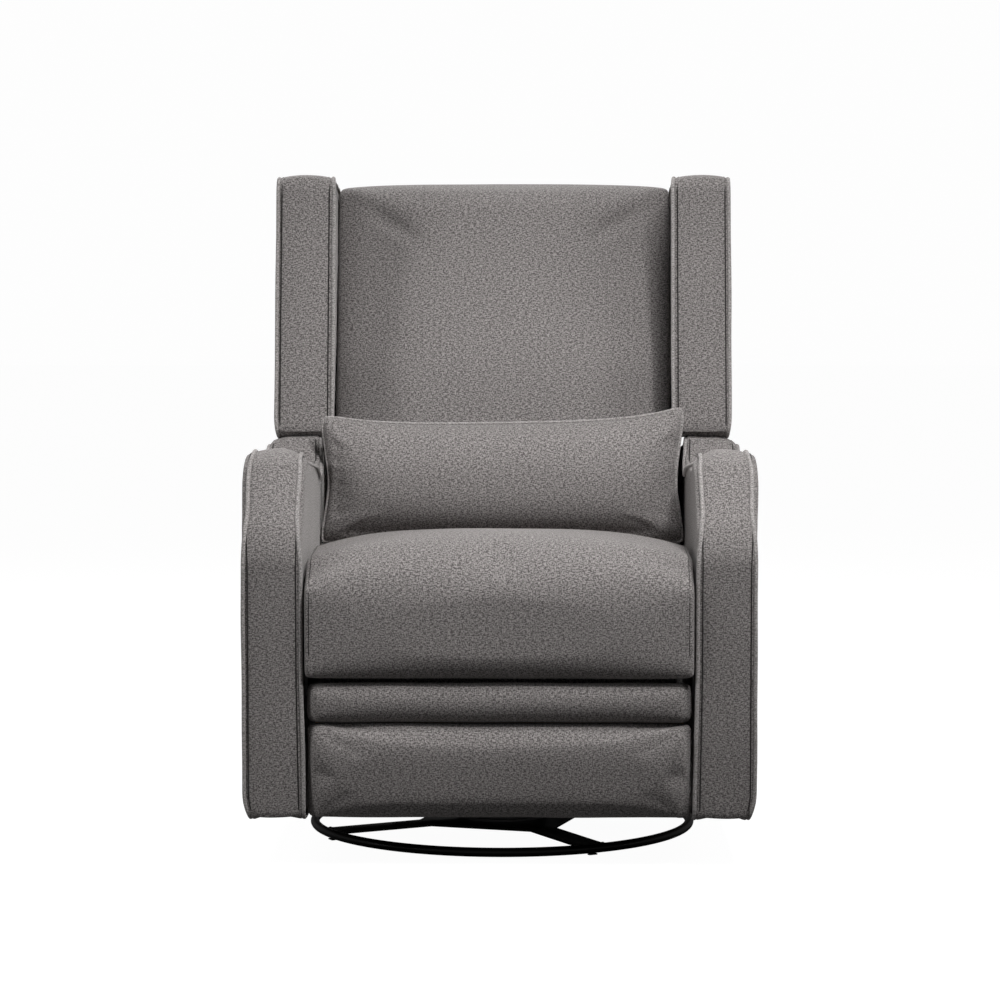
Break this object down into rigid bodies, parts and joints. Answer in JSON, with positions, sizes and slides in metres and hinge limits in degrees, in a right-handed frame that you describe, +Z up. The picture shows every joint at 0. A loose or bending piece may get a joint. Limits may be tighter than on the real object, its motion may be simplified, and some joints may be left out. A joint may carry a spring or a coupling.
{
  "type": "glider nursery chair",
  "caption": "Upholstered wing-back nursery chair on a round ring base that swivels, glides on swing links, reclines and unfolds a padded footrest.",
  "frame": {"origin": "on the floor, under the middle of the chair's overall footprint", "axes": "+Z up, the chair faces -Y, +X to the right as seen from the front"},
  "size_m": [0.785, 0.8618, 1.0771],
  "materials": {
    "painted_steel": "satin black powder coat",
    "bare_steel": "zinc-plated",
    "nylon": "black nylon",
    "timber": "unfinished plywood and softwood",
    "upholstery": "dark warm-grey heathered woven cloth",
    "webbing": "black woven webbing"
  },
  "bodies": {
    "base": {"base_ring": "painted_steel", "base_cross": "painted_steel", "floor_glide_1": "nylon", "floor_glide_2": "nylon", "floor_glide_3": "nylon", "floor_glide_4": "nylon", "swivel_lower_race": "bare_steel", "swivel_bearing": "bare_steel", "king_bolt": "bare_steel", "king_bolt_nut": "bare_steel"},
    "turntable": {"turntable_plate": "painted_steel", "glide_upright_left": "painted_steel", "glide_upright_right": "painted_steel"},
    "rear_links": {"glide_link_rear_left": "bare_steel", "glide_link_rear_right": "bare_steel"},
    "front_links": {"glide_link_front_left": "bare_steel", "glide_link_front_right": "bare_steel"},
    "carriage": {"carriage_plate_left": "painted_steel", "carriage_plate_right": "painted_steel", "cross_tube_front": "painted_steel", "cross_tube_rear": "painted_steel", "arm_core_left": "timber", "arm_core_right": "timber", "arm_cover_left": "upholstery", "arm_cover_right": "upholstery", "rear_lower_panel": "upholstery", "seat_ledge_left": "bare_steel", "seat_ledge_right": "bare_steel", "recline_bolt_left": "bare_steel", "recline_bolt_right": "bare_steel", "seat_frame": "timber", "seat_spring_1": "bare_steel", "seat_spring_2": "bare_steel", "seat_spring_3": "bare_steel", "seat_cushion": "upholstery", "footrest_mount_left": "painted_steel", "footrest_mount_right": "painted_steel"},
    "back": {"recline_bracket_left": "painted_steel", "recline_bracket_right": "painted_steel", "back_frame": "timber", "back_cushion": "upholstery", "wing_left": "upholstery", "wing_right": "upholstery", "back_outer_panel": "upholstery"},
    "footrest_front_links": {"footrest_front_link_left": "bare_steel", "footrest_front_link_right": "bare_steel"},
    "footrest_rear_links": {"footrest_rear_link_left": "bare_steel", "footrest_rear_link_right": "bare_steel"},
    "footrest_couplers": {"footrest_coupler_left": "bare_steel", "footrest_coupler_right": "bare_steel"},
    "footrest_lower_links": {"footrest_lower_link_left": "bare_steel", "footrest_lower_link_right": "bare_steel"},
    "footrest": {"footrest_bracket_left": "painted_steel", "footrest_bracket_right": "painted_steel", "footrest_board": "timber", "footrest_lower_pad": "upholstery", "footrest_upper_pad": "upholstery"},
    "release_tab": {"release_tab": "webbing"},
    "lumbar_pillow": {"lumbar_pillow": "upholstery"}
  },
  "joints": [
    {"name": "swivel", "type": "hinge", "parent": "base", "child": "turntable", "pos_m": [0, -0.0155, 0.0265], "axis": [0, 0, 1], "continuous": true},
    {"name": "glide", "type": "hinge", "parent": "turntable", "child": "rear_links", "pos_m": [0, 0.1145, 0.195], "axis": [1, 0, 0], "range_deg": [-25, 25]},
    {"name": "glide_front_links", "type": "hinge", "parent": "turntable", "child": "front_links", "pos_m": [0, -0.1455, 0.195], "axis": [1, 0, 0], "range_deg": [-25.5, 25.5]},
    {"name": "glide_carriage", "type": "hinge", "parent": "rear_links", "child": "carriage", "pos_m": [0, 0.1145, 0.085], "axis": [1, 0, 0], "range_deg": [-25.5, 25.5]},
    {"name": "back_recline", "type": "hinge", "parent": "carriage", "child": "back", "pos_m": [0, 0.1545, 0.4], "axis": [-1, 0, 0], "range_deg": [0, 32], "stiffness_Nm_per_rad": 50, "springref_deg": -22.92},
    {"name": "footrest", "type": "hinge", "parent": "carriage", "child": "footrest_front_links", "pos_m": [0, -0.3555, 0.285], "axis": [-1, 0, 0], "range_deg": [0, 87]},
    {"name": "footrest_rear_links", "type": "hinge", "parent": "carriage", "child": "footrest_rear_links", "pos_m": [0, -0.2955, 0.285], "axis": [-1, 0, 0], "range_deg": [-0.5, 87.5]},
    {"name": "footrest_couplers", "type": "hinge", "parent": "footrest_front_links", "child": "footrest_couplers", "pos_m": [0, -0.3055, 0.137], "axis": [-1, 0, 0], "range_deg": [-87.5, 0.5]},
    {"name": "footrest_lower_links", "type": "hinge", "parent": "footrest_front_links", "child": "footrest_lower_links", "pos_m": [0, -0.2845, 0.097], "axis": [-1, 0, 0], "range_deg": [-87.5, 0.5]},
    {"name": "footrest_board_pivot", "type": "hinge", "parent": "footrest_couplers", "child": "footrest", "pos_m": [0, -0.3605, 0.262], "axis": [-1, 0, 0], "range_deg": [-0.5, 87.5]},
    {"name": "release_tab", "type": "slide", "parent": "carriage", "child": "release_tab", "axis": [0, 0, 1], "range_m": [0, 0.025], "stiffness_N_per_m": 150, "springref_m": -0.005},
    {"name": "pillow_lift", "type": "slide", "parent": "carriage", "child": "lumbar_pillow", "axis": [0, -0.35, 0.9367], "range_m": [0, 0.45]}
  ],
  "couplings": [
    {"joint": "glide_front_links", "follows": "glide", "ratio": 1},
    {"joint": "glide_carriage", "follows": "glide", "ratio": -1},
    {"joint": "footrest_rear_links", "follows": "footrest", "ratio": 1},
    {"joint": "footrest_couplers", "follows": "footrest", "ratio": -1},
    {"joint": "footrest_lower_links", "follows": "footrest", "ratio": -1},
    {"joint": "footrest_board_pivot", "follows": "footrest", "ratio": 1}
  ]
}
